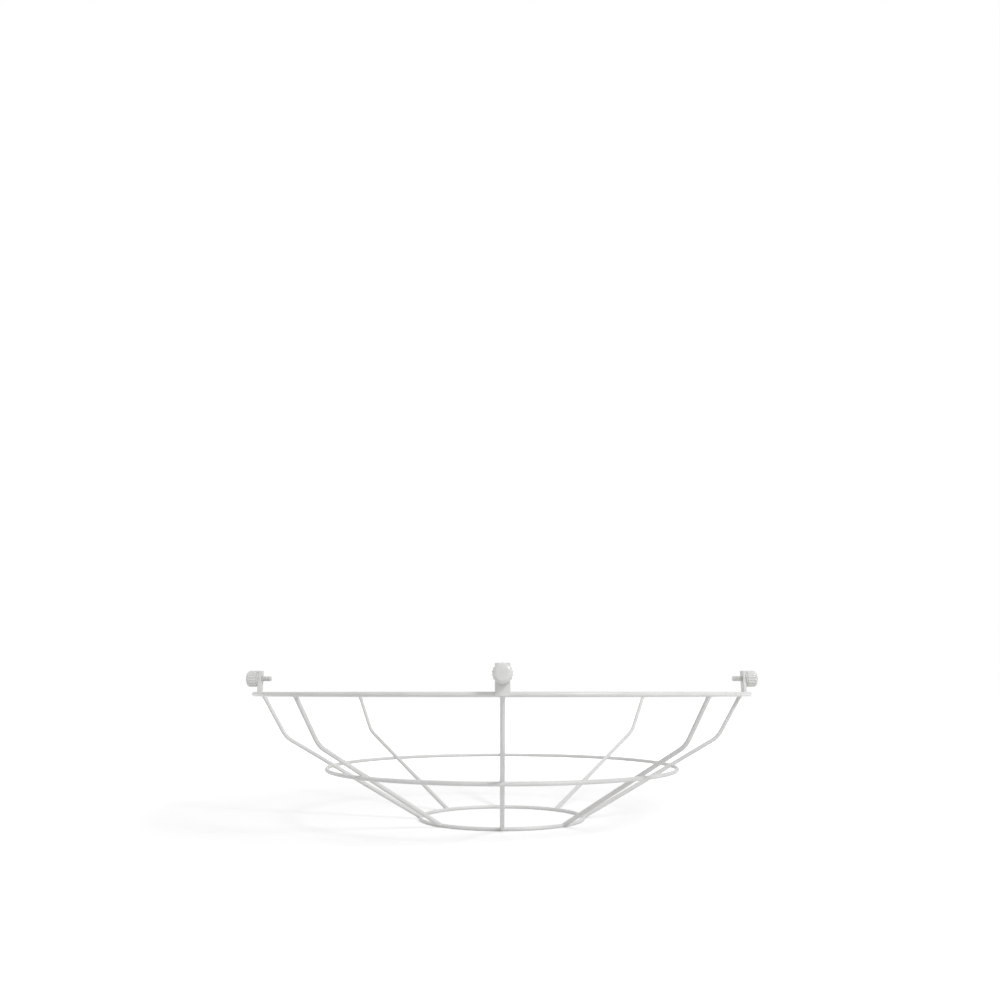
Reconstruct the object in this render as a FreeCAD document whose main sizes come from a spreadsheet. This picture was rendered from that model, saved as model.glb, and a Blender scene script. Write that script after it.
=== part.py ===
import FreeCAD, Part
import math
import os
import Sketcher
from FreeCAD import Placement, Rotation, Vector

# Bulb cage guard: a basket of bent steel wire that clamps under the rim of a lampshade.
# Three rings carry eight ribs with one knee each. Four tabs stand up outside the top ring,
# and a thumb screw with a washer goes through each tab, to grip the shade's rim.
# The basket stands on its bottom ring at Z = 0, with the first clamp at the front, towards -Y.

doc = FreeCAD.newDocument("bulb_cage_guard")

# Driving sizes in millimetres. Ring radii run to the middle of the wire.
SIZES = {
    "top_ring_radius": 180.7,
    "top_wire": 3.0,
    "middle_ring_radius": 128.0,
    "middle_wire": 2.8,
    "bottom_ring_radius": 59.6,
    "bottom_wire": 2.5,
    "guard_depth": 88.3,
    "rib_wire": 3.0,
    "knee_radius": 161.5,
    "knee_depth": 31.5,
    "bend_radius": 20.0,
    "weld_sink": 0.6,
    "clamp_count": 4,
    "ribs_per_clamp": 2,
    "tab_width": 8.6,
    "tab_thick": 2.2,
    "tab_above": 17.2,
    "tab_below": 1.0,
    "tab_chamfer": 0.4,
    "tab_sink": 0.2,
    "screw_above": 11.3,
    "screw_diameter": 4.0,
    "thread_clearance": 0.05,
    "shank_length": 10.5,
    "tip_chamfer": 0.5,
    "head_diameter": 12.0,
    "head_length": 7.9,
    "head_chamfer": 2.0,
    "knurl_count": 18,
    "knurl_depth": 0.5,
    "washer_diameter": 10.8,
    "washer_thick": 1.2,
    "washer_chamfer": 0.4,
    "washer_clearance": 0.2,
}

sheet = doc.addObject("Spreadsheet::Sheet", "sizes")
for row, (alias, size) in enumerate(SIZES.items(), start=1):
    sheet.set(f"A{row}", alias)
    sheet.set(f"B{row}", str(size))
    sheet.setAlias(f"B{row}", alias)
doc.recompute()

# Places that follow from the driving sizes: heights above the floor, and distances from the axis.
BOTTOM_HEIGHT = "(sizes.bottom_wire / 2)"
TOP_HEIGHT = f"({BOTTOM_HEIGHT} + sizes.guard_depth)"
KNEE_HEIGHT = f"({TOP_HEIGHT} - sizes.knee_depth)"
SCREW_HEIGHT = f"({TOP_HEIGHT} + sizes.screw_above)"
RIB_SLOPE = f"(({KNEE_HEIGHT} - {BOTTOM_HEIGHT}) / (sizes.knee_radius - sizes.bottom_ring_radius))"
TAB_INNER = "(sizes.top_ring_radius + sizes.top_wire / 2 - sizes.tab_sink)"
TAB_OUTER = f"({TAB_INNER} + sizes.tab_thick)"
HEAD_SEAT = f"({TAB_OUTER} + sizes.washer_thick)"

# The middle ring lies across the outer side of the ribs' lower runs, pressed in by its welds.
MIDDLE_DROP = f"(((sizes.rib_wire + sizes.middle_wire) / 2 - sizes.weld_sink) * sqrt(1 + {RIB_SLOPE} ^ 2))"
MIDDLE_HEIGHT = (
    f"({BOTTOM_HEIGHT} + {RIB_SLOPE} * (sizes.middle_ring_radius - sizes.bottom_ring_radius)"
    f" - {MIDDLE_DROP})"
)

# Turns about the guard's axis, in degrees.
FRONT_ANGLE = -90
CLAMP_PITCH = "(360 / sizes.clamp_count)"
RIB_PITCH = f"({CLAMP_PITCH} / sizes.ribs_per_clamp)"
UNIT_TURN = Placement(Vector(0, 0, 0), Rotation(Vector(0, 0, 1), 1))

# A sketch's origin and axes, and the places on one of its elements.
ORIGIN_POINT = (-1, 1)
ACROSS_AXIS, UP_AXIS = range(-1, -3, -1)
START, END, CENTRE = range(1, 4)


def number(expression):
    """The present value of an expression over the driving sizes."""
    return float(sheet.evalExpression(expression))


def origin_feature(body, role):
    """One of a body's own reference planes or axes."""
    return next(item for item in body.Origin.OriginFeatures if item.Role == role)


def new_body(name, turn, height=None):
    """A body turned about the guard's axis and raised to a height."""
    body = doc.addObject("PartDesign::Body", name)
    body.Placement = UNIT_TURN
    body.setExpression("Placement.Rotation.Angle", turn)
    if height:
        body.setExpression("Placement.Base.z", height)
    return body


def new_sketch(body, name, plane, offset=None):
    """A sketch on one of its body's own planes, moved along the plane's normal by the offset."""
    sketch = body.newObject("Sketcher::SketchObject", name)
    sketch.AttachmentSupport = (origin_feature(body, plane), [""])
    sketch.MapMode = "FlatFace"
    if offset:
        sketch.setExpression("AttachmentOffset.Base.z", offset)
    return sketch


def bind(sketch, kind, places, expression):
    """A dimension that follows the driving sizes."""
    constraint = Sketcher.Constraint(kind, *places, number(expression))
    index = sketch.addConstraint(constraint)
    sketch.setExpression(f"Constraints[{index}]", expression)


def locate(sketch, shape, end, across, up):
    """Place one end of a sketch element, with an axis in place of a zero."""
    if across is None:
        sketch.addConstraint(Sketcher.Constraint("PointOnObject", shape, end, UP_AXIS))
    else:
        bind(sketch, "DistanceX", (*ORIGIN_POINT, shape, end), across)
    if up is None:
        sketch.addConstraint(Sketcher.Constraint("PointOnObject", shape, end, ACROSS_AXIS))
    else:
        bind(sketch, "DistanceY", (*ORIGIN_POINT, shape, end), up)


def point(across, up):
    """A sketch point from two expressions, where None is zero."""
    return Vector(number(across or "0"), number(up or "0"), 0)


def outline(sketch, corners):
    """A closed profile of straight sides through the corners."""
    points = [point(*corner) for corner in corners]
    sides = []
    for place, start in enumerate(points):
        following = points[(place + 1) % len(points)]
        sides.append(sketch.addGeometry(Part.LineSegment(start, following), False))
    for place, side in enumerate(sides):
        following = sides[(place + 1) % len(sides)]
        sketch.addConstraint(Sketcher.Constraint("Coincident", side, END, following, START))
        locate(sketch, side, START, *corners[place])


def revolve(body, sketch):
    """Turn a profile once round the body's own X axis."""
    turned = body.newObject("PartDesign::Revolution", f"{body.Name}_turned")
    turned.Profile = sketch
    turned.ReferenceAxis = (sketch, ["H_Axis"])
    turned.Angle = 360
    return turned


def make_ring(name, radius, wire, height):
    """A level hoop of round wire, whose closing seam lies half way between two ribs."""
    ring = doc.addObject("Part::Torus", name)
    ring.Placement = UNIT_TURN
    ring.setExpression("Placement.Rotation.Angle", f"{FRONT_ANGLE} + {RIB_PITCH} / 2")
    ring.setExpression("Radius1", radius)
    ring.setExpression("Radius2", f"{wire} / 2")
    ring.setExpression("Placement.Base.z", height)
    return ring


def rib_path(body):
    """The middle of a rib's wire: a run from the top ring, a bend at the knee, a run to the bottom ring."""
    sketch = new_sketch(body, f"{body.Name}_path", "XZ_Plane")
    top = point("sizes.top_ring_radius", TOP_HEIGHT)
    knee = point("sizes.knee_radius", KNEE_HEIGHT)
    bottom = point("sizes.bottom_ring_radius", BOTTOM_HEIGHT)
    upper = (top - knee).normalize()
    lower = (bottom - knee).normalize()
    half_turn = upper.getAngle(lower * -1) / 2
    bend = number("sizes.bend_radius")
    reach = bend * math.tan(half_turn)
    first = knee + upper * reach
    last = knee + lower * reach
    inward = (upper + lower).normalize()
    middle = knee + inward * ((reach ** 2 + bend ** 2) ** 0.5 - bend)
    head = top - upper * number("sizes.top_wire / 2 - sizes.weld_sink")
    foot = bottom - lower * number("sizes.bottom_wire / 2 - sizes.weld_sink")

    upper_run = sketch.addGeometry(Part.LineSegment(head, first), False)
    bend_arc = sketch.addGeometry(Part.Arc(first, middle, last), False)
    lower_run = sketch.addGeometry(Part.LineSegment(last, foot), False)
    top_seat = sketch.addGeometry(Part.LineSegment(top, head), True)
    bottom_seat = sketch.addGeometry(Part.LineSegment(foot, bottom), True)
    knee_point = sketch.addGeometry(Part.Point(knee), True)

    for relation in (
        ("Tangent", upper_run, END, bend_arc, END),
        ("Tangent", bend_arc, START, lower_run, START),
        ("Coincident", top_seat, END, upper_run, START),
        ("Parallel", top_seat, upper_run),
        ("Coincident", lower_run, END, bottom_seat, START),
        ("Parallel", bottom_seat, lower_run),
        ("PointOnObject", knee_point, START, upper_run),
        ("PointOnObject", knee_point, START, lower_run),
    ):
        sketch.addConstraint(Sketcher.Constraint(*relation))
    bind(sketch, "Radius", (bend_arc,), "sizes.bend_radius")
    bind(sketch, "Distance", (top_seat,), "sizes.top_wire / 2 - sizes.weld_sink")
    bind(sketch, "Distance", (bottom_seat,), "sizes.bottom_wire / 2 - sizes.weld_sink")
    locate(sketch, top_seat, START, "sizes.top_ring_radius", TOP_HEIGHT)
    locate(sketch, bottom_seat, END, "sizes.bottom_ring_radius", BOTTOM_HEIGHT)
    locate(sketch, knee_point, START, "sizes.knee_radius", KNEE_HEIGHT)
    doc.recompute()
    return sketch


def make_rib(name, turn, rings):
    """A rib of round wire with one knee, its ends and its outer side coped to seat on the rings."""
    body = new_body(f"{name}_wire", turn)
    path = rib_path(body)
    section = body.newObject("Sketcher::SketchObject", f"{name}_section")
    section.AttachmentSupport = (path, ["Edge1"])
    section.MapMode = "NormalToEdge"
    circle = section.addGeometry(Part.Circle(Vector(), Vector(0, 0, 1), number("sizes.rib_wire / 2")), False)
    section.addConstraint(Sketcher.Constraint("Coincident", circle, CENTRE, *ORIGIN_POINT))
    bind(section, "Radius", (circle,), "sizes.rib_wire / 2")
    doc.recompute()
    wire = body.newObject("PartDesign::AdditivePipe", f"{name}_pipe")
    wire.Profile = section
    wire.Spine = (path, ["Edge1", "Edge2", "Edge3"])
    doc.recompute()
    rib = doc.addObject("Part::Cut", name)
    rib.Base = body
    rib.Tool = rings
    return rib


def make_tab(name, turn, ring):
    """A flat strip that stands up outside the top ring, let into it by the weld, with the screw's hole."""
    body = new_body(f"{name}_strip", turn)
    sketch = new_sketch(body, f"{name}_face", "YZ_Plane", TAB_INNER)
    half = "sizes.tab_width / 2"
    low = f"{TOP_HEIGHT} - sizes.tab_below"
    high = f"{TOP_HEIGHT} + sizes.tab_above"
    outline(sketch, [(f"-{half}", low), (half, low), (half, high), (f"-{half}", high)])
    hole = Part.Circle(point(None, SCREW_HEIGHT), Vector(0, 0, 1), number("sizes.screw_diameter / 2"))
    bore = sketch.addGeometry(hole, False)
    locate(sketch, bore, CENTRE, None, SCREW_HEIGHT)
    bind(sketch, "Radius", (bore,), "sizes.screw_diameter / 2")
    doc.recompute()
    plate = body.newObject("PartDesign::Pad", f"{name}_plate")
    plate.Profile = sketch
    plate.setExpression("Length", "sizes.tab_thick")
    doc.recompute()
    outer_face = number(TAB_OUTER)
    outer_edges = [
        f"Edge{place}"
        for place, edge in enumerate(plate.Shape.Edges, start=1)
        if isinstance(edge.Curve, Part.Line) and math.isclose(edge.BoundBox.XMin, outer_face, abs_tol=1e-6)
    ]
    eased = body.newObject("PartDesign::Chamfer", f"{name}_eased")
    eased.Base = (plate, outer_edges)
    eased.setExpression("Size", "sizes.tab_chamfer")
    doc.recompute()
    tab = doc.addObject("Part::Cut", name)
    tab.Base = body
    tab.Tool = ring
    return tab


def make_washer(name, turn):
    """A plain washer between the tab and the screw's head, chamfered on the head's side."""
    body = new_body(name, turn, SCREW_HEIGHT)
    sketch = new_sketch(body, f"{name}_profile", "XZ_Plane")
    hole = "sizes.screw_diameter / 2 + sizes.washer_clearance"
    rim = "sizes.washer_diameter / 2"
    corners = [
        (TAB_OUTER, hole),
        (TAB_OUTER, rim),
        (f"{HEAD_SEAT} - sizes.washer_chamfer", rim),
        (HEAD_SEAT, f"{rim} - sizes.washer_chamfer"),
        (HEAD_SEAT, hole),
    ]
    outline(sketch, corners)
    doc.recompute()
    revolve(body, sketch)
    return body


def make_screw(name, turn):
    """A thumb screw: a shank that runs in the tab's thread, and a round head knurled for the fingers."""
    body = new_body(name, turn, SCREW_HEIGHT)
    sketch = new_sketch(body, f"{name}_profile", "XZ_Plane")
    shank = "(sizes.screw_diameter / 2 - sizes.thread_clearance)"
    tip = f"({HEAD_SEAT} - sizes.shank_length)"
    rim = "(sizes.head_diameter / 2)"
    crown = f"({HEAD_SEAT} + sizes.head_length)"
    corners = [
        (tip, None),
        (tip, f"{shank} - sizes.tip_chamfer"),
        (f"{tip} + sizes.tip_chamfer", shank),
        (HEAD_SEAT, shank),
        (HEAD_SEAT, rim),
        (f"{crown} - sizes.head_chamfer", rim),
        (crown, f"{rim} - sizes.head_chamfer"),
        (crown, None),
    ]
    outline(sketch, corners)
    doc.recompute()
    revolve(body, sketch)
    doc.recompute()
    knurl = new_sketch(body, f"{name}_knurl", "YZ_Plane", HEAD_SEAT)
    valley = f"{rim} - sizes.knurl_depth"
    mouth = f"{rim} + sizes.knurl_depth / 2"
    bottom = point(None, valley)
    right = point(f"{mouth} - ({valley})", mouth)
    left = Vector(-right.x, right.y)
    near = knurl.addGeometry(Part.LineSegment(bottom, right), False)
    across = knurl.addGeometry(Part.LineSegment(right, left), False)
    far = knurl.addGeometry(Part.LineSegment(left, bottom), False)
    for relation in (
        ("Coincident", near, END, across, START),
        ("Coincident", across, END, far, START),
        ("Coincident", far, END, near, START),
        ("Symmetric", across, START, across, END, UP_AXIS),
        ("Perpendicular", near, far),
    ):
        knurl.addConstraint(Sketcher.Constraint(*relation))
    locate(knurl, near, START, None, valley)
    bind(knurl, "DistanceY", (*ORIGIN_POINT, across, START), mouth)
    doc.recompute()
    cut = body.newObject("PartDesign::Pocket", f"{name}_groove")
    cut.Profile = knurl
    cut.Reversed = True
    cut.setExpression("Length", "sizes.head_length")
    doc.recompute()
    grip = body.newObject("PartDesign::PolarPattern", f"{name}_grip")
    grip.Originals = [cut]
    grip.Axis = (origin_feature(body, "X_Axis"), [""])
    grip.Angle = 360
    grip.setExpression("Occurrences", "sizes.knurl_count")
    body.Tip = grip
    return body


top_ring = make_ring("top_ring", "sizes.top_ring_radius", "sizes.top_wire", TOP_HEIGHT)
middle_ring = make_ring("middle_ring", "sizes.middle_ring_radius", "sizes.middle_wire", MIDDLE_HEIGHT)
bottom_ring = make_ring("bottom_ring", "sizes.bottom_ring_radius", "sizes.bottom_wire", BOTTOM_HEIGHT)
all_rings = doc.addObject("Part::Compound", "all_rings")
all_rings.Links = [top_ring, middle_ring, bottom_ring]
doc.recompute()
pieces = [top_ring, middle_ring, bottom_ring]

clamp_count = int(number("sizes.clamp_count"))
rib_count = clamp_count * int(number("sizes.ribs_per_clamp"))
for place in range(rib_count):
    turn = f"{FRONT_ANGLE} + {RIB_PITCH} * {place}"
    pieces.append(make_rib(f"rib_{place + 1}", turn, all_rings))

for place in range(clamp_count):
    turn = f"{FRONT_ANGLE} + {CLAMP_PITCH} * {place}"
    pieces.append(make_tab(f"clamp_tab_{place + 1}", turn, top_ring))
    pieces.append(make_washer(f"washer_{place + 1}", turn))
    pieces.append(make_screw(f"thumb_screw_{place + 1}", turn))

doc.recompute()
for item in doc.Objects:
    if "Invalid" in item.State or "Error" in item.State:
        raise RuntimeError(f"{item.Name} did not build: {item.State}")
for piece in pieces:
    if piece.Shape.isNull() or not piece.Shape.isValid() or len(piece.Shape.Solids) != 1:
        raise RuntimeError(f"{piece.Label} is not one sound solid")

os.makedirs("parts", exist_ok=True)
for piece in pieces:
    piece.Shape.exportStep(f"parts/{piece.Label}.step")
    print(piece.Label, round(piece.Shape.Volume, 1), "cubic mm")
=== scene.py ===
# %% [markdown]
# # A wire bulb cage guard
#
# The guard is a shallow basket of steel wire, welded, then coated white. Its solids were drawn
# first, as a plain frame that says where every piece is. This lesson dresses that frame: each
# piece is modelled again with the roundings, welds, thread and knurl that the eye expects, in
# the same place and at the same size, and is then given its finish.

# %% Load the frame
import math
from collections import namedtuple

import bmesh
import bpy
from mathutils import Matrix, Vector


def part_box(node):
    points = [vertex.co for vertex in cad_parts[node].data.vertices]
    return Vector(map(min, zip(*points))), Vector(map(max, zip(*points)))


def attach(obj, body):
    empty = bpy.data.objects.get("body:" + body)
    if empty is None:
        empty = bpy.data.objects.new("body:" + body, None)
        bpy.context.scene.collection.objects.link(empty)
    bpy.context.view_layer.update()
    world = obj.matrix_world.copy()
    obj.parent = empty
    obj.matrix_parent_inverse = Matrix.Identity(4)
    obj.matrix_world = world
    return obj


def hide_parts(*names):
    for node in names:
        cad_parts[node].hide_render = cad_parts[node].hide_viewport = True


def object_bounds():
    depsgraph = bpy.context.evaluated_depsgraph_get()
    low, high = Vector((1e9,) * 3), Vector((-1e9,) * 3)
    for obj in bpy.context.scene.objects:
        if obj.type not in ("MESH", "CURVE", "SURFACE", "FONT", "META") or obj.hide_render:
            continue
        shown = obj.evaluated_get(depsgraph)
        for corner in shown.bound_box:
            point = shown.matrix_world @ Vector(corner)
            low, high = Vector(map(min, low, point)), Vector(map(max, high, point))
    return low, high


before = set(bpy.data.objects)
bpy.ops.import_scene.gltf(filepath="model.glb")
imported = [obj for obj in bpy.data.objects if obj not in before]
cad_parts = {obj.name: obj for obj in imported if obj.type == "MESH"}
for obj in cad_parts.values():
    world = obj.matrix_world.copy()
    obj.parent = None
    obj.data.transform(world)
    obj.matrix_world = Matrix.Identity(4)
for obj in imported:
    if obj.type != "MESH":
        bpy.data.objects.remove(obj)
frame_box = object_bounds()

scene = bpy.context.scene
scene.view_settings.view_transform = "Standard"
print("nodes in the frame:", len(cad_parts))

# %% [markdown]
# ## Measuring the frame
#
# Sizes could be typed in again, but then they could drift from the solids. A hoop says all that
# is needed by itself: the nearest and farthest points from the axis give its radius and its wire.

# %% Hoop sizes
MM = 0.001
ORIGIN = (0.0, 0.0, 0.0)
UPWARD = Vector((0, 0, 1))
OUTWARD = Vector((1, 0, 0))
FULL_TURN = 2 * math.pi
Hoop = namedtuple("Hoop", "radius wire height")


def places(node):
    """Every vertex of a solid in the frame, where it stands."""
    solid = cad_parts[node]
    return [solid.matrix_world @ vertex.co for vertex in solid.data.vertices]


def measure_hoop(node):
    """A hoop's radius to the middle of its wire, the radius of that wire, and its height."""
    reach = [place.xy.length for place in places(node)]
    low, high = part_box(node)
    return Hoop(
        radius=(max(reach) + min(reach)) / 2,
        wire=(max(reach) - min(reach)) / 2,
        height=(low.z + high.z) / 2,
    )


HOOPS = {name: measure_hoop(f"{name}_ring") for name in ("top", "middle", "bottom")}
for name, sizes in HOOPS.items():
    print(name, "hoop, in mm:", [round(size / MM, 2) for size in sizes])

# %% [markdown]
# ## Colours and nodes
#
# A hex colour is what a colour picker shows, and a shader wants linear light, so one function
# turns the first into the second. A second small function adds a node with its settings and its
# links, which keeps a material readable as a list of what feeds what.

# %% Colour and node helpers
def linear(hex_colour):
    """An sRGB hex colour as linear red, green, blue and alpha."""
    channels = [int(hex_colour[place:place + 2], 16) / 255 for place in (1, 3, 5)]
    return [c / 12.92 if c <= 0.04045 else ((c + 0.055) / 1.055) ** 2.4 for c in channels] + [1.0]


def add_node(tree, kind, settings=None, links=None):
    """One node, with its sockets or properties set, and its inputs linked by name or number."""
    node = tree.nodes.new(kind)
    for name, value in (settings or {}).items():
        if name in node.inputs:
            node.inputs[name].default_value = value
        else:
            setattr(node, name, value)
    for name, source in (links or {}).items():
        tree.links.new(source, node.inputs[name])
    return node


def new_material(name):
    """An empty node material and its tree."""
    material = bpy.data.materials.new(name)
    material.use_nodes = True
    material.node_tree.nodes.clear()
    return material, material.node_tree


print("white as linear light:", linear("#FFFFFF"))

# %% [markdown]
# ## White powder coat
#
# The wire was sprayed with charged polyester powder and baked until the grains ran together. That
# leaves a satin white with a faint orange peel: low swells a millimetre or two apart, with a finer
# stipple on them. Where the film is a little thicker or thinner, its tone and gloss shift slightly.
# A plain grey-white would look like plastic, so noise at those real sizes drives the bump, the
# gloss and a very slight cloud in the colour. The stipple is drawn coarser than on the real film,
# because at its true size it would be lost in the render.

# %% Powder coat
COAT_IOR = 1.5
CLOUD_BAND = (0.35, 0.65)
CLOUD_DETAIL = 3.0
PEEL_DETAIL = 1.0
STIPPLE_DETAIL = 2.0


def coated_steel(name, light, dark, gloss, peel, peel_depth, stipple, stipple_depth, cloud):
    """A baked white coat on steel: cloudy colour, uneven gloss and an orange peel bump."""
    material, tree = new_material(name)
    place = add_node(tree, "ShaderNodeTexCoord").outputs["Object"]
    clouds, swell, grain = [
        add_node(
            tree, "ShaderNodeTexNoise", {"Scale": 1 / size, "Detail": detail}, {"Vector": place}
        ).outputs["Fac"]
        for size, detail in ((cloud, CLOUD_DETAIL), (peel, PEEL_DETAIL), (stipple, STIPPLE_DETAIL))
    ]
    tone = add_node(tree, "ShaderNodeValToRGB", None, {"Fac": clouds})
    for stop, position, colour in zip(tone.color_ramp.elements, CLOUD_BAND, (dark, light)):
        stop.position = position
        stop.color = linear(colour)
    sheen = add_node(
        tree, "ShaderNodeMapRange", {"To Min": gloss[0], "To Max": gloss[1]}, {"Value": swell}
    )
    waves = add_node(
        tree, "ShaderNodeBump", {"Strength": 1.0, "Distance": peel_depth}, {"Height": swell}
    )
    surface = add_node(
        tree, "ShaderNodeBump", {"Strength": 1.0, "Distance": stipple_depth},
        {"Height": grain, "Normal": waves.outputs["Normal"]},
    )
    coat = add_node(
        tree, "ShaderNodeBsdfPrincipled", {"IOR": COAT_IOR, "Metallic": 0.0},
        {
            "Base Color": tone.outputs["Color"],
            "Roughness": sheen.outputs["Result"],
            "Normal": surface.outputs["Normal"],
        },
    )
    add_node(tree, "ShaderNodeOutputMaterial", None, {"Surface": coat.outputs["BSDF"]})
    print("made", name)
    return material


POWDER_COAT = coated_steel(
    "white_powder_coat_on_steel", light="#E3E3E1", dark="#DCDCDA", gloss=(0.30, 0.44),
    peel=1.8 * MM, peel_depth=0.09 * MM, stipple=0.5 * MM, stipple_depth=0.02 * MM, cloud=22 * MM,
)

# %% [markdown]
# ## White enamel on the screws
#
# The thumb screws and washers are small turned parts. Their coat is thinner and glossier than the
# powder on the wire, which is why the photograph shows small bright glints on the heads. The same
# function makes it, with a lower roughness and a shallower peel.

# %% Enamel
ENAMEL = coated_steel(
    "white_enamel_on_turned_steel", light="#E1E1DF", dark="#DADAD8", gloss=(0.10, 0.17),
    peel=1.2 * MM, peel_depth=0.03 * MM, stipple=0.4 * MM, stipple_depth=0.006 * MM, cloud=8 * MM,
)

# %% [markdown]
# ## Finishing a piece
#
# Every piece ends the same way: doubles are merged, the faces are turned outwards, and the mesh
# becomes an object that sits at the origin, with its place in its vertices. It then rides on the
# body that carries it and stands in for the plain solid. Flat faces stay flat-shaded, because one
# smooth normal stretched across a flat would bend its shading. Folds that are really sharp, such as
# a thread's edges and the foot of a weld, stay sharp for the same reason.

# %% Piece helpers
MERGE = 0.0005 * MM
FLAT_CUT = math.cos(math.radians(1.0))
SHARP = math.radians(50)


def finish_piece(name, bm, turn, body, node, finish, flat_ways=()):
    """Turn a finished mesh to its place about the guard's axis and make it a piece."""
    bmesh.ops.remove_doubles(bm, verts=bm.verts, dist=MERGE)
    bmesh.ops.recalc_face_normals(bm, faces=bm.faces)
    for face in bm.faces:
        face.smooth = not any(abs(face.normal.dot(way)) > FLAT_CUT for way in flat_ways)
    for edge in bm.edges:
        edge.smooth = edge.calc_face_angle(0) < SHARP
    bmesh.ops.rotate(bm, verts=bm.verts, cent=ORIGIN, matrix=Matrix.Rotation(turn, 3, "Z"))
    closed = all(edge.is_manifold for edge in bm.edges)
    mesh = bpy.data.meshes.new(name)
    bm.to_mesh(mesh)
    bm.free()
    mesh.materials.append(finish)
    piece = bpy.data.objects.new(name, mesh)
    scene.collection.objects.link(piece)
    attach(piece, body)
    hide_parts(node)
    print(name, "faces:", len(mesh.polygons), "closed:", closed)


# %% [markdown]
# ## The three hoops
#
# Each hoop is a length of drawn wire rolled round and butt welded. A torus primitive would do, but
# spinning the wire's own section once round the axis says how the thing is made, and lets the
# number of sides follow the wire and not the hoop. The spin has to merge its last step with its
# first, or a seam is left open.

# %% Hoops
WIRE_SIDES = 32
HOOP_STEPS = 288


def make_hoop(name):
    """A level hoop of round wire."""
    radius, wire, height = HOOPS[name]
    bm = bmesh.new()
    section = bmesh.ops.create_circle(bm, segments=WIRE_SIDES, radius=wire)["verts"]
    bmesh.ops.rotate(bm, verts=section, cent=ORIGIN, matrix=Matrix.Rotation(math.pi / 2, 3, "X"))
    bmesh.ops.translate(bm, verts=section, vec=(radius, 0, height))
    bmesh.ops.spin(
        bm, geom=bm.verts[:] + bm.edges[:], cent=ORIGIN, axis=UPWARD, angle=FULL_TURN,
        steps=HOOP_STEPS, use_merge=True,
    )
    finish_piece(f"{name}_hoop", bm, 0, "guard", f"{name}_ring", POWDER_COAT)


for name in HOOPS:
    make_hoop(name)

# %% [markdown]
# ## Welds that flow into the wire
#
# A rib's end is pressed against a hoop and resistance welded, and the baked coat then fills the
# corner with a small hollow curve. Left as two bare tubes, the joint would look like a drawing. The
# curve is the path of a small ball that rolls round the joint and touches both wires, so the rib's
# last loops can be placed where that ball touches: first on the rib, then round the ball, then on
# the hoop. Where the hoop is no thicker than the rib, the ball stops beside the hoop, and the weld
# reaches over to the hoop's flank. The loops are drawn out of the tube's open end, one extrusion at
# a time.

# %% Loops and rolling ball
FILLET_STEPS = 6
ACROSS = Vector((0, 1, 0))
WELD_ROOT = 0.5  # share of the hoop's wire at which a weld starts, out of sight
LEAST_RISE = 0.3 * MM  # the ball stays at least this far up the rib


def extrude_loop(bm, loop):
    """Draw a tube's open end out by one more loop, in the same order as the old one."""
    edges = [bm.edges.get(pair) for pair in zip(loop, loop[1:] + loop[:1])]
    drawn = bmesh.ops.extrude_edge_only(bm, edges=edges)["geom"]
    fresh = {item for item in drawn if isinstance(item, bmesh.types.BMVert)}
    return [next(e.other_vert(v) for e in v.link_edges if e.other_vert(v) in fresh) for v in loop]


def place_loop(loop, points):
    """Move a loop's vertices to their points, one by one."""
    for vertex, point in zip(loop, points):
        vertex.co = point


def draw_tube(bm, loops):
    """Start a tube with a capped first loop, and draw it out through the others."""
    tube = bmesh.ops.create_circle(bm, segments=len(loops[0]), radius=MM, cap_ends=True)["verts"]
    place_loop(tube, loops[0])
    for points in loops[1:]:
        tube = extrude_loop(bm, tube)
        place_loop(tube, points)
    return tube


def close_tube(bm):
    """Cap the end that is still open."""
    rim = [edge for edge in bm.edges if edge.is_boundary]
    bmesh.ops.holes_fill(bm, edges=rim, sides=len(rim))


def weld_toe(centre, along, side, wire, seat, fillet):
    """Loops from inside a hoop's wire, over the weld, to the rib that stands on it."""
    loops = [[] for _ in range(FILLET_STEPS + 2)]
    for place in range(WIRE_SIDES):
        turn = FULL_TURN * place / WIRE_SIDES
        round_rib = ACROSS * math.cos(turn) + side * math.sin(turn)
        height = (seat + fillet) ** 2 - ((wire + fillet) * math.sin(turn)) ** 2
        ball = round_rib * (wire + fillet) + along * math.sqrt(max(height, LEAST_RISE ** 2))
        middle = ACROSS * ball.y
        to_hoop = (middle - ball).normalized()
        spare = (middle - ball).length - seat - fillet
        for step in range(FILLET_STEPS + 1):
            share = step / FILLET_STEPS
            touch = to_hoop.slerp(-round_rib, share)
            loops[step + 1].append(centre + ball + touch * (fillet + spare * (1 - share)))
        loops[0].append(centre + middle - to_hoop * seat * WELD_ROOT)
    return loops


print("weld loops:", FILLET_STEPS + 2, "with", WIRE_SIDES, "points each")

# %% [markdown]
# ## The weld where a rib crosses the middle hoop
#
# Here neither wire ends: the hoop lies against the outside of the rib, and the two are pressed into
# each other by a fraction of a millimetre. The same ball rolls round the neck between them. How far
# from the middle of the joint it sits depends on the direction, and has no neat formula, so the
# distance is found by halving an interval until the ball touches both wires.

# %% Crossing weld
HALVINGS = 40
NEARLY_ZERO = 1e-9


def ball_distance(turn, wire, seat, gap, fillet):
    """How far out a ball sits that touches two crossing wires, in one direction."""
    rib_reach, hoop_reach = wire + fillet, seat + fillet
    cosine, sine = abs(math.cos(turn)), abs(math.sin(turn))
    near = 0.0
    far = min(rib_reach / max(cosine, NEARLY_ZERO), hoop_reach / max(sine, NEARLY_ZERO))
    for _ in range(HALVINGS):
        middle = (near + far) / 2
        above_rib = math.sqrt(max(rib_reach ** 2 - (middle * cosine) ** 2, 0))
        below_hoop = math.sqrt(max(hoop_reach ** 2 - (middle * sine) ** 2, 0))
        if above_rib + below_hoop > gap:
            near = middle
        else:
            far = middle
    return near


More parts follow.
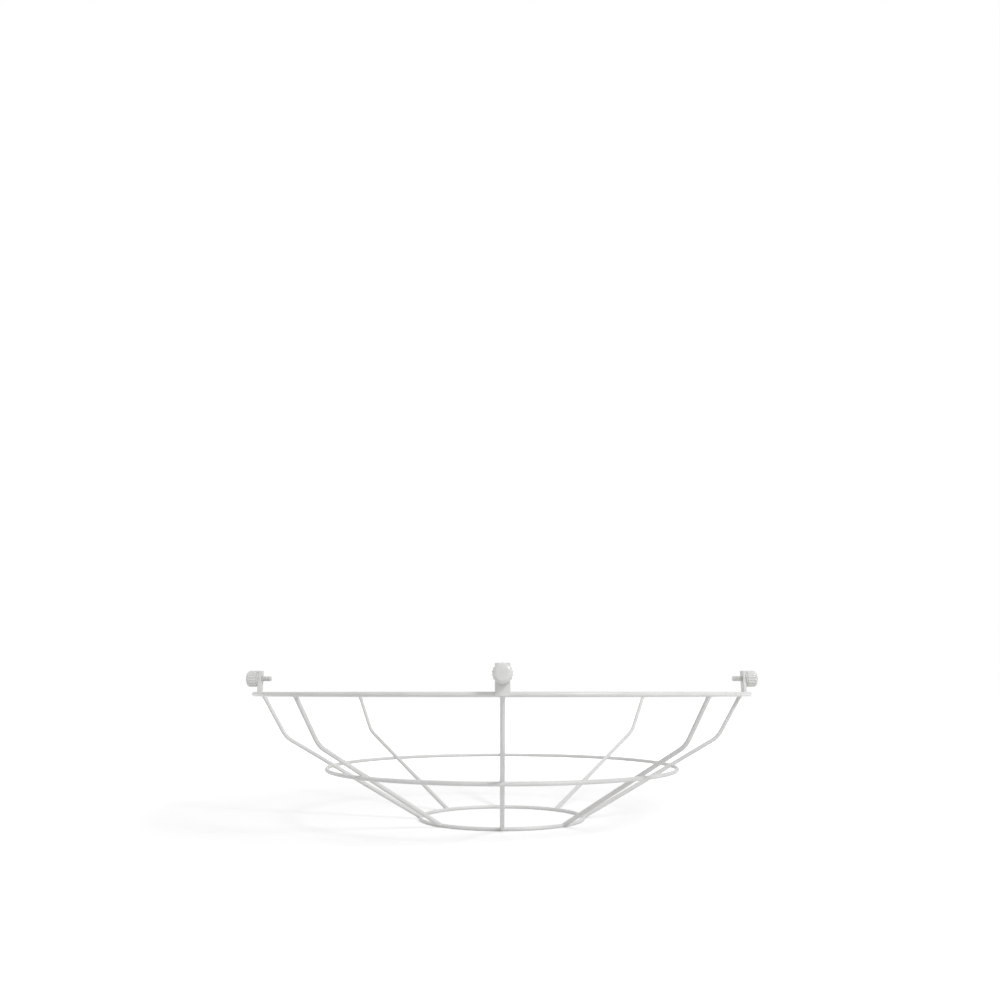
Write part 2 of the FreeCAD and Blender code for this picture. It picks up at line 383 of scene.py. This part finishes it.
def crossing_weld(bm, centre, along, outward, wire, seat, gap, fillet):
    """A waisted weld from the rib, at the centre, to the hoop that crosses it on the outside."""
    loops = [[] for _ in range(FILLET_STEPS + 1)]
    for place in range(WIRE_SIDES):
        turn = FULL_TURN * place / WIRE_SIDES
        distance = ball_distance(turn, wire, seat, gap, fillet)
        on_rib = along * distance * math.sin(turn)
        on_hoop = ACROSS * distance * math.cos(turn)
        rise = math.sqrt(max((wire + fillet) ** 2 - on_hoop.length_squared, 0))
        ball = on_rib + on_hoop + outward * rise
        to_rib = (on_rib - ball).normalized()
        to_hoop = (on_hoop + outward * gap - ball).normalized()
        for step, loop in enumerate(loops):
            loop.append(centre + ball + to_rib.slerp(to_hoop, step / FILLET_STEPS) * fillet)
    draw_tube(bm, loops)
    close_tube(bm)


print("crossing weld loops:", FILLET_STEPS + 1, "with", HALVINGS, "halvings for each point")

# %% [markdown]
# ## The eight ribs
#
# A rib is one wire with one bend, the knee, made round a former, so the bend is an arc and not a
# corner. It runs from under the top hoop to the bottom hoop. The tube starts as the weld under the
# top hoop, is drawn straight to the bend, turned round it a few degrees at a time, drawn straight
# to the bottom hoop, and ends as the weld there. Bending a curve object would be quicker, but its
# ends would have no welds.

# %% Ribs
RIB_COUNT = 8
RIB_WIRE = 1.5 * MM
KNEE = Vector((161.5 * MM, 0, HOOPS["top"].height - 31.5 * MM))
BEND_RADIUS = 20 * MM
BEND_STEPS = 10
END_FILLET = 0.9 * MM
CROSS_FILLET = 0.8 * MM
FRONT = -math.pi / 2


def turn_from_front(number, count):
    """How far round the guard's axis a numbered piece stands, counted from the front."""
    return FRONT + FULL_TURN * (number - 1) / count


def hoop_point(name):
    """The middle of a hoop's wire, straight out along X."""
    return Vector((HOOPS[name].radius, 0, HOOPS[name].height))


def make_rib(number):
    """One bent rib with its three welds."""
    top, middle, bottom = (hoop_point(name) for name in ("top", "middle", "bottom"))
    down = (KNEE - top).normalized()
    inwards = (bottom - KNEE).normalized()
    turn = down.angle(inwards)
    reach = BEND_RADIUS * math.tan(turn / 2)
    side = ACROSS.cross(down)
    bend_start = KNEE - down * reach
    bend_centre = bend_start - side * BEND_RADIUS * math.copysign(1, side.dot(top - bottom))
    step_turn = Matrix.Rotation(math.copysign(turn, down.cross(inwards).y) / BEND_STEPS, 3, "Y")

    bm = bmesh.new()
    tube = draw_tube(bm, weld_toe(top, down, side, RIB_WIRE, HOOPS["top"].wire, END_FILLET))
    tube = extrude_loop(bm, tube)
    for place, vertex in enumerate(tube):
        angle = FULL_TURN * place / WIRE_SIDES
        vertex.co = bend_start + (ACROSS * math.cos(angle) + side * math.sin(angle)) * RIB_WIRE
    for _ in range(BEND_STEPS):
        tube = extrude_loop(bm, tube)
        bmesh.ops.rotate(bm, verts=tube, cent=bend_centre, matrix=step_turn)
    foot_side = ACROSS.cross(inwards)
    foot = weld_toe(bottom, -inwards, foot_side, RIB_WIRE, HOOPS["bottom"].wire, END_FILLET)
    for points in reversed(foot):
        tube = extrude_loop(bm, tube)
        place_loop(tube, points)
    close_tube(bm)

    crossing = KNEE + inwards * (middle - KNEE).dot(inwards)
    outward = (middle - crossing).normalized()
    gap = (middle - crossing).length
    crossing_weld(
        bm, crossing, inwards, outward, RIB_WIRE, HOOPS["middle"].wire, gap, CROSS_FILLET
    )
    finish_piece(
        f"bent_rib_{number}", bm, turn_from_front(number, RIB_COUNT), "guard", f"rib_{number}",
        POWDER_COAT,
    )


for number in range(1, RIB_COUNT + 1):
    make_rib(number)

# %% [markdown]
# ## The clamp tabs
#
# A tab is a short piece of flat strip, cropped to length, punched for the screw and welded to the
# outside of the top hoop. Coating rounds all its edges a little. A strip with a hole can be cut
# with a boolean, but bridging the hole's loop to the strip's outline gives clean faces that bevel
# well. The outline is subdivided first, so that both loops have as many vertices.

# %% Tab strip
CLAMP_COUNT = 4
HOLE_SIDES = 32
EDGE_ROUND = 0.35 * MM
HOLE_ROUND = 0.2 * MM
ROUND_STEPS = 3
BORE = 2.0 * MM

screw_low, screw_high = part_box("thumb_screw_2")
tab_low, tab_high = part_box("clamp_tab_2")
AXIS_HEIGHT = (screw_low.z + screw_high.z) / 2
AXIS_POINT = Vector((0, 0, AXIS_HEIGHT))


def rounded(bm, edges, radius):
    """Round a set of edges off."""
    bmesh.ops.bevel(
        bm, geom=edges, affect="EDGES", offset=radius, segments=ROUND_STEPS, profile=0.5,
        material=-1,
    )


def tab_strip(bm):
    """The strip, with its punched hole and rounded edges."""
    corners = [
        bm.verts.new((tab_low.x, y, z))
        for y, z in (
            (tab_low.y, tab_low.z), (tab_high.y, tab_low.z),
            (tab_high.y, tab_high.z), (tab_low.y, tab_high.z),
        )
    ]
    sides = [bm.edges.new(pair) for pair in zip(corners, corners[1:] + corners[:1])]
    bmesh.ops.subdivide_edges(bm, edges=sides, cuts=HOLE_SIDES // len(sides) - 1)
    hole = bmesh.ops.create_circle(bm, segments=HOLE_SIDES, radius=BORE)["verts"]
    bmesh.ops.rotate(bm, verts=hole, cent=ORIGIN, matrix=Matrix.Rotation(math.pi / 2, 3, "Y"))
    bmesh.ops.translate(bm, verts=hole, vec=AXIS_POINT + OUTWARD * tab_low.x)
    bmesh.ops.bridge_loops(bm, edges=bm.edges[:])
    drawn = bmesh.ops.extrude_face_region(bm, geom=bm.faces[:])["geom"]
    fresh = [item for item in drawn if isinstance(item, bmesh.types.BMVert)]
    bmesh.ops.translate(bm, verts=fresh, vec=OUTWARD * (tab_high.x - tab_low.x))
    bmesh.ops.recalc_face_normals(bm, faces=bm.faces)
    sharp = [edge for edge in bm.edges if edge.calc_face_angle(0) > SHARP]

    def by_hole(edge):
        return all(abs((vertex.co - AXIS_POINT).yz.length - BORE) < MERGE for vertex in edge.verts)

    rims = [edge for edge in sharp if by_hole(edge)]
    outline = [edge for edge in sharp if not by_hole(edge)]
    rounded(bm, outline, EDGE_ROUND)
    rounded(bm, [edge for edge in rims if edge.is_valid], HOLE_ROUND)


print("strip, in mm:", [round(size / MM, 2) for size in tab_high - tab_low])

# %% [markdown]
# ## The tabs' welds
#
# The strip meets the hoop along a line, and the weld leaves one hollow bead above it and one below.
# A bead is a small three-cornered section with one hollow side, carried along the hoop for the
# width of the strip. A spin of a few degrees would cut its ends off square, so it is drawn as a
# tube, from loops that shrink into the corner towards both ends.

# %% Tab welds and tabs
BEAD_ABOVE = 0.7 * MM
BEAD_BELOW = 1.5 * MM
BEAD_STEPS = 16
BEAD_SINK = 0.25 * MM
BEAD_END = 0.1  # share of a bead's size that is left at its ends
BEAD_BLUNT = 6  # the higher, the later its ends begin to shrink


def weld_bead(bm, ball, touch_tab, touch_hoop, root, half_turn):
    """A hollow bead between strip and hoop, carried along the hoop and faded out at both ends."""
    to_tab, to_hoop = (touch_tab - ball), (touch_hoop - ball)
    hollow = [
        ball + to_tab.normalized().slerp(to_hoop.normalized(), step / FILLET_STEPS) * to_tab.length
        for step in range(FILLET_STEPS + 1)
    ]
    loops = []
    for step in range(BEAD_STEPS + 1):
        share = -math.cos(math.pi * step / BEAD_STEPS)
        size = max(BEAD_END, math.sqrt(1 - share ** BEAD_BLUNT))
        around = Matrix.Rotation(half_turn * share, 3, "Z")
        loops.append([around @ root.lerp(point, size) for point in (root, *hollow)])
    draw_tube(bm, loops)
    close_tube(bm)


def make_tab(number):
    """A clamp tab with its two weld beads."""
    hoop = hoop_point("top")
    wire = HOOPS["top"].wire
    bm = bmesh.new()
    tab_strip(bm)
    half_turn = math.atan((tab_high.y - EDGE_ROUND) / tab_high.x)

    out = tab_low.x - BEAD_ABOVE - hoop.x
    ball = hoop + Vector((out, 0, math.sqrt((wire + BEAD_ABOVE) ** 2 - out ** 2)))
    on_tab = ball + OUTWARD * BEAD_ABOVE
    on_hoop = hoop + (ball - hoop).normalized() * wire
    root = Vector((tab_low.x + BEAD_SINK, 0, hoop.z))
    weld_bead(bm, ball, on_tab, on_hoop, root, half_turn)

    drop = tab_low.z - BEAD_BELOW - hoop.z
    ball = hoop + Vector((math.sqrt((wire + BEAD_BELOW) ** 2 - drop ** 2), 0, drop))
    on_tab = ball + UPWARD * BEAD_BELOW
    on_hoop = hoop + (ball - hoop).normalized() * wire
    root = Vector((tab_low.x - BEAD_SINK, 0, tab_low.z + BEAD_SINK))
    weld_bead(bm, ball, on_tab, on_hoop, root, half_turn)

    finish_piece(
        f"tab_strip_{number}", bm, turn_from_front(number, CLAMP_COUNT), "guard",
        f"clamp_tab_{number}", POWDER_COAT,
        flat_ways=(OUTWARD, ACROSS, UPWARD),
    )


for number in range(1, CLAMP_COUNT + 1):
    make_tab(number)

# %% [markdown]
# ## The washers
#
# A washer is punched from sheet, which leaves its edges slightly rounded, and it sits between tab
# and head. A cylinder could be bored and bevelled, but a section that is rounded first needs no
# cutting. The section is a small rectangle: its corners are bevelled as points, the face is taken
# away and the outline that is left is spun round the screw's axis.

# %% Washers
WASHER_STEPS = 64
WASHER_EDGE = 0.3 * MM
WASHER_BORE = 2.2 * MM


def make_washer(number):
    """A plain washer with rounded edges."""
    low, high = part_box("washer_2")
    rim = (high.z - low.z) / 2
    bm = bmesh.new()
    section = ((low.x, WASHER_BORE), (high.x, WASHER_BORE), (high.x, rim), (low.x, rim))
    corners = [bm.verts.new((x, 0, AXIS_HEIGHT + away)) for x, away in section]
    bmesh.ops.contextual_create(bm, geom=corners)
    bmesh.ops.bevel(
        bm, geom=corners, affect="VERTICES", offset=WASHER_EDGE, segments=ROUND_STEPS, profile=0.5,
        material=-1,
    )
    bmesh.ops.delete(bm, geom=bm.faces[:], context="FACES_ONLY")
    bmesh.ops.spin(
        bm, geom=bm.verts[:] + bm.edges[:], cent=AXIS_POINT, axis=OUTWARD, angle=FULL_TURN,
        steps=WASHER_STEPS, use_merge=True,
    )
    finish_piece(
        f"washer_disc_{number}", bm, turn_from_front(number, CLAMP_COUNT), f"washer_{number}",
        f"washer_{number}", ENAMEL, flat_ways=(OUTWARD,),
    )


for number in range(1, CLAMP_COUNT + 1):
    make_washer(number)

# %% [markdown]
# ## The thumb screws' heads
#
# The head is turned from bar, and its rim is rolled with straight ridges for the fingers. Pulling
# every ridge out by hand would be slow, so the head is drawn as loops along the screw's axis. Each
# loop has the turned radius at that height, but no point of it may lie outside the rolled grooves,
# so the ridges fade by themselves where the edge is eased.

# %% Screw head
RIDGES = 18
RIDGE_STEPS = 8
GROOVE_DEPTH = 0.5 * MM
CROWN_EASE = 3.0 * MM
SEAT_EASE = 0.4 * MM
EASE_STEPS = 8
HEAD_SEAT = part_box("washer_2")[1].x
HEAD_RIM = max((place - AXIS_POINT).yz.length for place in places("thumb_screw_2"))
HEAD_SIDES = RIDGES * RIDGE_STEPS


def head_outline():
    """Turned radius along the head, from the seat to the crown, as pairs of place and radius."""
    quarter = [math.pi / 2 * step / EASE_STEPS for step in range(EASE_STEPS + 1)]
    seat_end = [
        (HEAD_SEAT + SEAT_EASE * (1 - math.cos(a)), HEAD_RIM - SEAT_EASE * (1 - math.sin(a)))
        for a in quarter
    ]
    crown_end = [
        (screw_high.x - CROWN_EASE * (1 - math.sin(a)), HEAD_RIM - CROWN_EASE * (1 - math.cos(a)))
        for a in quarter
    ]
    return [*seat_end, *crown_end]


def head_points(place, radius):
    """One loop of the head: the turned radius, held inside the rolled grooves."""
    points = []
    for step in range(HEAD_SIDES):
        turn = FULL_TURN * step / HEAD_SIDES
        groove = HEAD_RIM - GROOVE_DEPTH * (0.5 + 0.5 * math.cos(RIDGES * turn))
        away = min(radius, groove)
        points.append(Vector((place, away * math.cos(turn), AXIS_HEIGHT + away * math.sin(turn))))
    return points


def screw_head(bm):
    """The knurled head, closed on both sides."""
    draw_tube(bm, [head_points(*pair) for pair in head_outline()])
    close_tube(bm)


print("head:", round(2 * HEAD_RIM / MM, 2), "mm across,", RIDGES, "ridges")

# %% [markdown]
# ## The thumb screws' threads
#
# An M4 thread rises 0.7 mm a turn. It could be faked with a bump of stripes, but its outline shows
# against the light, so it is real here. One pitch of the thread's section is spun about the axis
# and moved along it a little at every step. One turn's end then meets the next turn's start, and
# merging the doubles makes it one surface. Both ends are cut square and capped, and the tip is
# turned down to a cone by pulling in every vertex that lies outside it.

# %% Thread and screws
PITCH = 0.7 * MM
THREAD_DEPTH = 0.43 * MM
THREAD_STEPS = 24
CREST = 1.95 * MM
TIP_EASE = 0.5 * MM
SEAT_OVERLAP = 0.2 * MM
# Shares of the pitch along the screw, and of the depth outwards.
THREAD_SHAPE = ((0, 0), (4 / 16, 0), (9 / 16, 1), (11 / 16, 1), (1, 0))


def square_end(bm, place, way):
    """Cut the thread off square and cap it."""
    bmesh.ops.bisect_plane(
        bm, geom=bm.verts[:] + bm.edges[:] + bm.faces[:], dist=MERGE, plane_co=place, plane_no=way,
        clear_outer=True,
    )
    rim = [edge for edge in bm.edges if edge.is_boundary
           and all(abs((vertex.co - place).dot(way)) < MERGE for vertex in edge.verts)]
    bmesh.ops.contextual_create(bm, geom=rim)


def screw_thread():
    """The threaded shank, from its tip to just inside the head."""
    root = CREST - THREAD_DEPTH
    start = screw_low.x - PITCH
    turns = math.ceil((HEAD_SEAT + SEAT_OVERLAP - start) / PITCH) + 1
    bm = bmesh.new()
    points = [
        bm.verts.new((start + along * PITCH, 0, AXIS_HEIGHT + root + rise * THREAD_DEPTH))
        for along, rise in THREAD_SHAPE
    ]
    for pair in zip(points, points[1:]):
        bm.edges.new(pair)
    bmesh.ops.spin(
        bm, geom=bm.verts[:] + bm.edges[:], cent=AXIS_POINT, axis=OUTWARD, angle=FULL_TURN * turns,
        steps=THREAD_STEPS * turns, dvec=OUTWARD * PITCH / THREAD_STEPS, use_merge=False,
    )
    bmesh.ops.remove_doubles(bm, verts=bm.verts, dist=MERGE)
    square_end(bm, AXIS_POINT + OUTWARD * screw_low.x, -OUTWARD)
    square_end(bm, AXIS_POINT + OUTWARD * (HEAD_SEAT + SEAT_OVERLAP), OUTWARD)
    for vertex in bm.verts:
        away = vertex.co - AXIS_POINT
        allowed = CREST - TIP_EASE + away.x - screw_low.x
        if away.yz.length > allowed:
            vertex.co.yz = AXIS_POINT.yz + away.yz * (allowed / away.yz.length)
    return bm


def make_screw(number):
    """A thumb screw: knurled head and threaded shank."""
    bm = screw_thread()
    screw_head(bm)
    finish_piece(
        f"knurled_screw_{number}", bm, turn_from_front(number, CLAMP_COUNT),
        f"thumb_screw_{number}", f"thumb_screw_{number}", ENAMEL,
        flat_ways=(OUTWARD,),
    )


for number in range(1, CLAMP_COUNT + 1):
    make_screw(number)

# %% [markdown]
# ## Floor and backdrop
#
# The photograph has a clean white ground. More light would give that too, and would burn out the
# white wire with it, so the ground glows by itself instead, and only for rays that come from the
# camera or from a reflection. Near the object about two thirds of its white is real reflected
# light, so that a soft shadow still falls on it. Farther out the glow alone is full white, and no
# edge shows where floor and backdrop meet.

# %% Floor and world
FLOOR_HALF = 12.0
SHADOW_REACH = (0.22, 0.62)
FLOOR_GLOW = (0.32, 1.0)
BACKDROP_LIGHT = 0.47
BACKDROP_WHITE = 1.0


def seen_directly(tree):
    """One for rays that show the ground: from the camera, a reflection or a clear body."""
    path = add_node(tree, "ShaderNodeLightPath")
    seen = path.outputs["Is Camera Ray"]
    for ray in ("Is Glossy Ray", "Is Transmission Ray"):
        either = add_node(
            tree, "ShaderNodeMath", {"operation": "MAXIMUM"}, {0: seen, 1: path.outputs[ray]}
        )
        seen = either.outputs["Value"]
    return seen


def make_floor():
    """A wide white floor that keeps the shadow near the object."""
    material, tree = new_material("white_studio_floor")
    place = add_node(tree, "ShaderNodeTexCoord").outputs["Object"]
    away = add_node(tree, "ShaderNodeVectorMath", {"operation": "LENGTH"}, {"Vector": place})
    glow = add_node(
        tree, "ShaderNodeMapRange",
        {
            "interpolation_type": "SMOOTHSTEP",
            "From Min": SHADOW_REACH[0], "From Max": SHADOW_REACH[1],
            "To Min": FLOOR_GLOW[0], "To Max": FLOOR_GLOW[1],
        },
        {"Value": away.outputs["Value"]},
    )
    strength = add_node(
        tree, "ShaderNodeMath", {"operation": "MULTIPLY"},
        {0: glow.outputs["Result"], 1: seen_directly(tree)},
    )
    light = add_node(
        tree, "ShaderNodeEmission", {"Color": linear("#FFFFFF")},
        {"Strength": strength.outputs["Value"]},
    )
    matt = add_node(tree, "ShaderNodeBsdfDiffuse", {"Color": linear("#EEEEEE")})
    both = add_node(
        tree, "ShaderNodeAddShader", None, {0: light.outputs["Emission"], 1: matt.outputs["BSDF"]}
    )
    add_node(tree, "ShaderNodeOutputMaterial", None, {"Surface": both.outputs["Shader"]})
    bm = bmesh.new()
    bmesh.ops.create_grid(bm, x_segments=1, y_segments=1, size=FLOOR_HALF)
    mesh = bpy.data.meshes.new("studio_floor")
    bm.to_mesh(mesh)
    bm.free()
    mesh.materials.append(material)
    floor = bpy.data.objects.new("studio_floor", mesh)
    scene.collection.objects.link(floor)


def make_world():
    """White where it is seen, and a softer light on the object."""
    world = bpy.data.worlds.new("white_studio")
    world.use_nodes = True
    tree = world.node_tree
    tree.nodes.clear()
    soft, white = [
        add_node(
            tree, "ShaderNodeBackground", {"Color": linear("#FFFFFF"), "Strength": strength}
        ).outputs["Background"]
        for strength in (BACKDROP_LIGHT, BACKDROP_WHITE)
    ]
    either = add_node(
        tree, "ShaderNodeMixShader", None, {"Fac": seen_directly(tree), 1: soft, 2: white}
    )
    add_node(tree, "ShaderNodeOutputWorld", None, {"Surface": either.outputs["Shader"]})
    scene.world = world


make_floor()
make_world()
print("floor and world are in place")

# %% [markdown]
# ## Light
#
# The wire in the photograph is palest on its upper right and greyest on its lower left, so the main
# lamp stands in front, above and to the right. A large weak lamp on the left keeps the other side
# from going dark, and one overhead lights the tops of the hoops.

# %% Lamps
LAMPS = {
    "key": {"place": (1.1, -1.3, 1.3), "size": 0.55, "watts": 18},
    "fill": {"place": (-1.5, -0.7, 0.7), "size": 1.4, "watts": 1.5},
    "top": {"place": (0.1, 0.3, 1.7), "size": 1.6, "watts": 3.5},
}
AIM = (frame_box[0] + frame_box[1]) / 2

for name, lamp in LAMPS.items():
    data = bpy.data.lights.new(f"{name}_lamp", "AREA")
    data.size = lamp["size"]
    data.energy = lamp["watts"]
    lamp_object = bpy.data.objects.new(f"{name}_lamp", data)
    lamp_object.location = lamp["place"]
    lamp_object.rotation_mode = "QUATERNION"
    lamp_object.rotation_quaternion = (AIM - lamp_object.location).to_track_quat("-Z", "Y")
    scene.collection.objects.link(lamp_object)
    print(name, "lamp:", lamp["watts"], "W")

# %% [markdown]
# ## Camera
#
# The photograph was taken from close by, about level with the top hoop and tilted slightly upwards:
# the top hoop is seen nearly edge on and the lower hoops from above. A camera set by eye would come
# near, but the hoops' curves give away small errors, so the place, the tilt and the lens below were
# fitted to the three hoops and the ribs' knees as the photograph shows them.

# %% Camera
LENS = 31.827
SENSOR = 36.0
CAMERA_PLACE = (-0.00144, -0.68443, 0.09042)
LOOK_UP = math.radians(12.302)

camera_data = bpy.data.cameras.new("camera")
camera_data.sensor_width = SENSOR
camera_data.lens = LENS
camera_data.dof.use_dof = False
camera = bpy.data.objects.new("camera", camera_data)
camera.location = CAMERA_PLACE
camera.rotation_euler = (math.pi / 2 + LOOK_UP, 0, 0)
scene.collection.objects.link(camera)
scene.camera = camera
print("camera at", CAMERA_PLACE)
